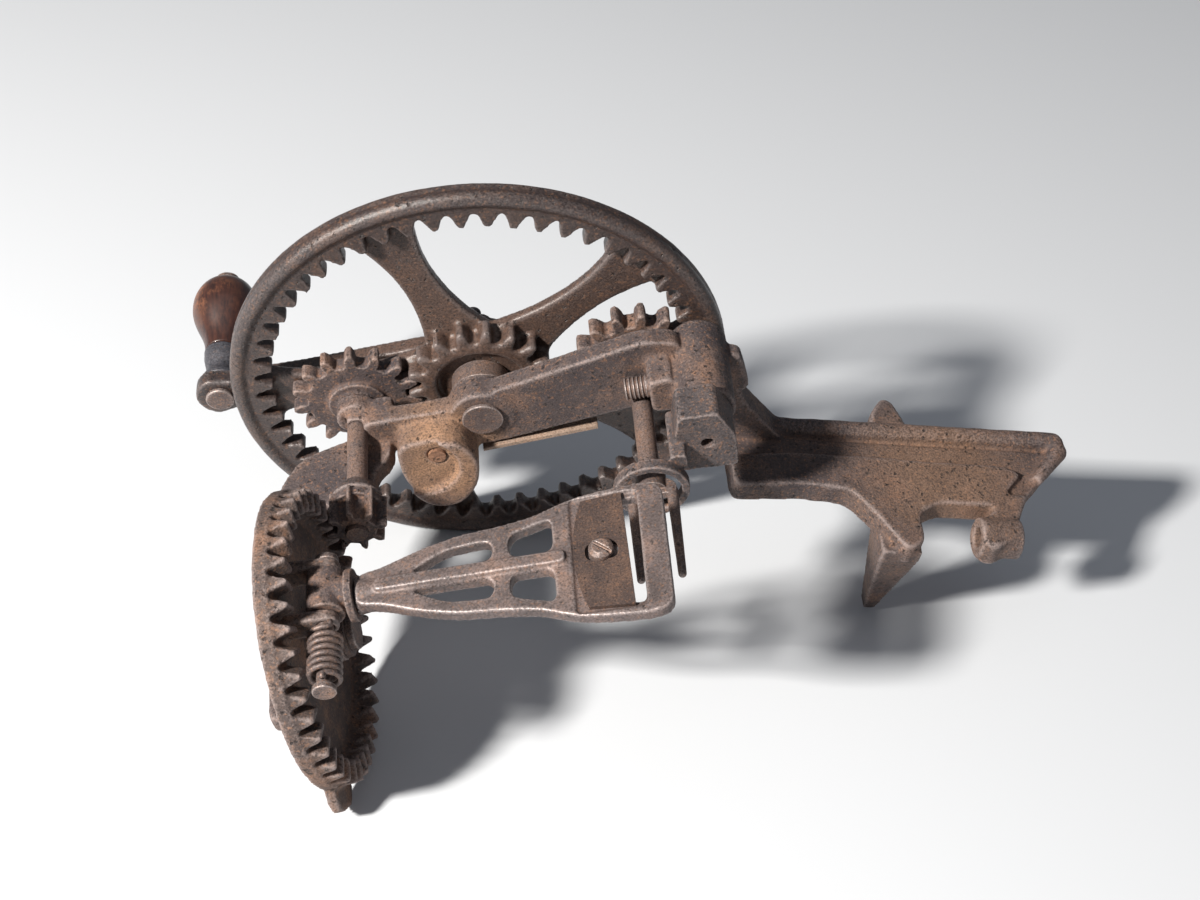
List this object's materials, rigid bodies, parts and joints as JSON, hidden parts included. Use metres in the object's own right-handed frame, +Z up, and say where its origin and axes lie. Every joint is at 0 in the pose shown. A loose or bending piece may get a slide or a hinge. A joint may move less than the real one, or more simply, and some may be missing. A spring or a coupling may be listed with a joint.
{
  "type": "apple peeler",
  "caption": "Hand cranked cast iron apple peeler with a geared wheel, turntable knife arm, fork and table clamp.",
  "frame": {"origin": "on the clamp's upper jaw, where it rests on the table top, over the thumbscrew's hole", "axes": "+Z up the stem, -Y to the front along the fork, +X across the stem"},
  "size_m": [0.17, 0.2132, 0.3111],
  "materials": {
    "cast": "aged, pitted, brown rust",
    "steel": "aged, rust specks",
    "dark": "dark patina",
    "rusted": "orange rust",
    "wood": "worn varnish"
  },
  "bodies": {
    "frame": {"frame": "cast", "wheel_axle": "steel", "axle_washer": "steel", "axle_cotter": "dark", "table_stud": "steel", "stud_washer": "steel", "set_screw": "steel", "leaf_spring": "rusted", "leaf_rivet": "steel", "lug_rivet": "rusted"},
    "wheel": {"drive_wheel": "cast", "handle_stud": "steel"},
    "grip": {"handle_ferrule": "dark", "handle_grip": "wood"},
    "intermediate": {"mid_gear": "cast", "mid_shaft": "steel", "drive_pinion": "cast"},
    "turntable": {"turntable": "cast", "hinge_pin": "steel", "arm_spring": "steel"},
    "knife": {"arm_hub": "cast", "knife_arm": "cast", "knife_blade": "dark", "blade_screw": "steel"},
    "fork": {"fork_pinion": "cast", "fork_shaft": "steel", "fork": "steel"},
    "push_off": {"push_off": "cast", "push_ring": "cast", "push_rod": "steel"}
  },
  "joints": [
    {"name": "crank", "type": "hinge", "parent": "frame", "child": "wheel", "pos_m": [0.009, 0.055, 0.15], "axis": [0, -1, 0], "range_deg": [-115, 780]},
    {"name": "fork_spin", "type": "hinge", "parent": "frame", "child": "fork", "pos_m": [0.02631, 0.035, 0.09885], "axis": [0, -1, 0], "range_deg": [-447, 3012]},
    {"name": "intermediate_spin", "type": "hinge", "parent": "frame", "child": "intermediate", "pos_m": [-0.00485, 0.035, 0.19092], "axis": [0, -1, 0], "range_deg": [-887, 134]},
    {"name": "turntable_spin", "type": "hinge", "parent": "frame", "child": "turntable", "pos_m": [-0.00485, -0.045, 0.19092], "axis": [0.3778, 0, -0.9259], "range_deg": [-28, 178]},
    {"name": "knife_hinge", "type": "hinge", "parent": "turntable", "child": "knife", "pos_m": [0.01888, -0.052, 0.20191], "axis": [0, -1, 0], "range_deg": [0, 30], "stiffness_Nm_per_rad": 0.25, "springref_deg": -34.38},
    {"name": "push_off_slide", "type": "slide", "parent": "frame", "child": "push_off", "axis": [0, -1, 0], "range_m": [0, 0.022]},
    {"name": "grip_spin", "type": "hinge", "parent": "wheel", "child": "grip", "pos_m": [-0.02066, 0.085, 0.23762], "axis": [0, -1, 0], "continuous": true}
  ],
  "couplings": [
    {"joint": "fork_spin", "follows": "crank", "ratio": 3.8571},
    {"joint": "intermediate_spin", "follows": "crank", "ratio": -1.1333},
    {"joint": "turntable_spin", "follows": "crank", "ratio": 0.22667}
  ]
}
